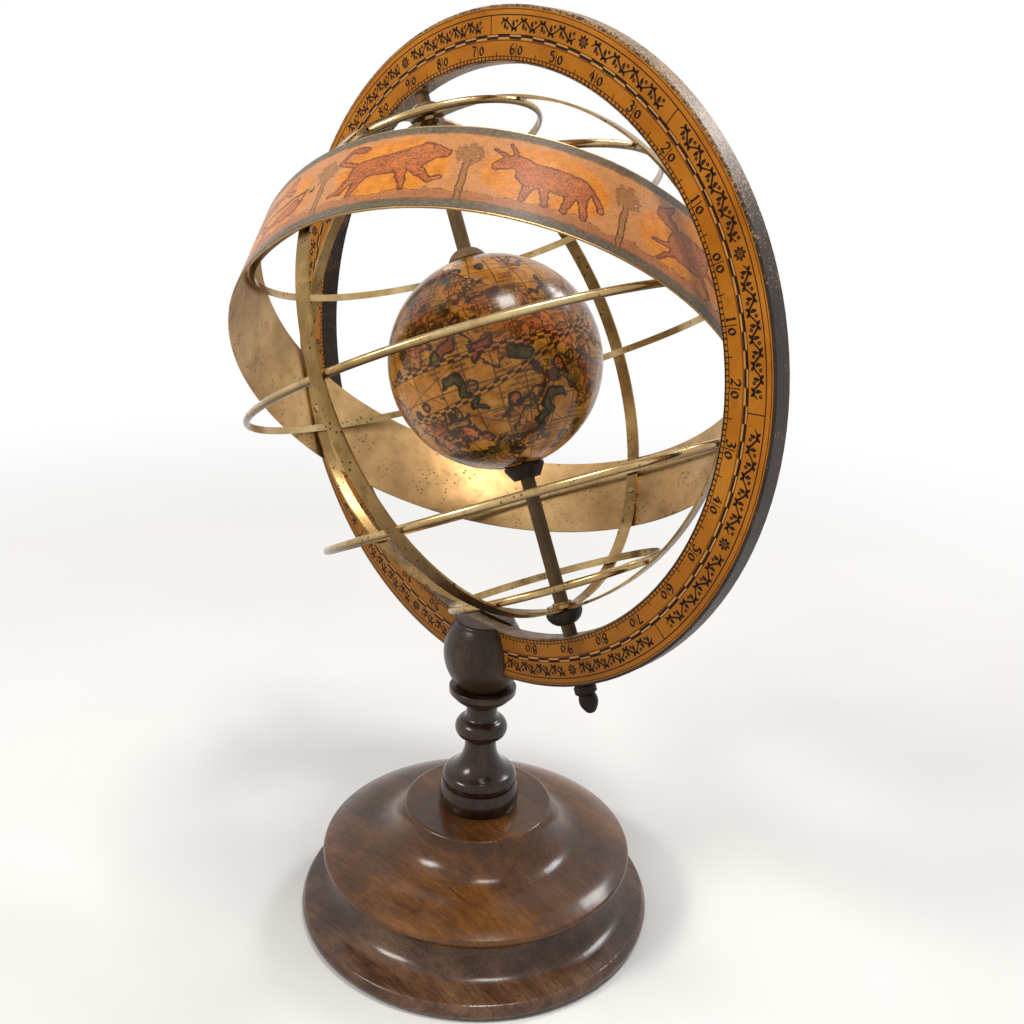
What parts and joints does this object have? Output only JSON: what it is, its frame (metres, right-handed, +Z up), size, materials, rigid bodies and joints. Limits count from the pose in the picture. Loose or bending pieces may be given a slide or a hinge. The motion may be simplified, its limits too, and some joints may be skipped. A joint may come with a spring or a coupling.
{
  "type": "armillary sphere",
  "caption": "Tabletop armillary sphere: a small globe and a cage of brass strips turn on a leaning rod inside a wooden meridian ring with degree scales, on a turned stand.",
  "frame": {"origin": "middle of the foot's flat underside", "axes": "+Z up; the meridian ring stands in the XZ plane with its main printed face towards -Y; the polar axis leans towards -X at the top"},
  "size_m": [0.3226, 0.2468, 0.4679],
  "materials": {
    "walnut": "semi-gloss varnished walnut",
    "dark_wood": "near-black gloss varnish",
    "ball_wood": "dark brown satin varnish",
    "ring_wood": "near-black painted edge",
    "printed_paper": "aged ochre printed paper",
    "zodiac_paper": "hand-coloured printed paper",
    "rod_wood": "dark stained wood",
    "globe_paper": "varnished printed paper",
    "brass": "aged brass with bright edges",
    "solder": "dull solder",
    "steel": "plain steel"
  },
  "bodies": {
    "stand": {"base_lower": "walnut", "base_upper": "walnut", "column": "dark_wood", "column_screw": "steel", "screw_washer": "steel", "column_head": "ball_wood", "ring_peg": "dark_wood", "meridian_ring": "ring_wood", "scale_front": "printed_paper", "scale_back": "printed_paper"},
    "axle": {"axis_rod": "rod_wood", "finial_knob": "rod_wood", "spacer_lower": "rod_wood", "spacer_upper": "rod_wood", "globe_collar_lower": "rod_wood", "globe_collar_upper": "rod_wood"},
    "globe": {"globe_north": "globe_paper", "globe_south": "globe_paper"},
    "cage": {"colure_a": "brass", "colure_b": "brass", "colure_c": "brass", "colure_d": "brass", "equator_band": "brass", "tropic_north": "brass", "tropic_south": "brass", "polar_circle_north": "brass", "polar_circle_south": "brass", "zodiac_band_a": "brass", "zodiac_band_b": "brass", "zodiac_print": "zodiac_paper", "hub_north": "brass", "hub_south": "brass", "solder_joints": "solder", "zodiac_rivets": "brass"}
  },
  "joints": [
    {"name": "axle_turn", "type": "hinge", "parent": "stand", "child": "axle", "pos_m": [0, 0, 0.30654], "axis": [-0.4352, 0, 0.9003], "continuous": true},
    {"name": "globe_spin", "type": "hinge", "parent": "axle", "child": "globe", "pos_m": [0, 0, 0.30654], "axis": [-0.4352, 0, 0.9003], "continuous": true},
    {"name": "cage_spin", "type": "hinge", "parent": "axle", "child": "cage", "pos_m": [0, 0, 0.30654], "axis": [-0.4352, 0, 0.9003], "continuous": true}
  ]
}
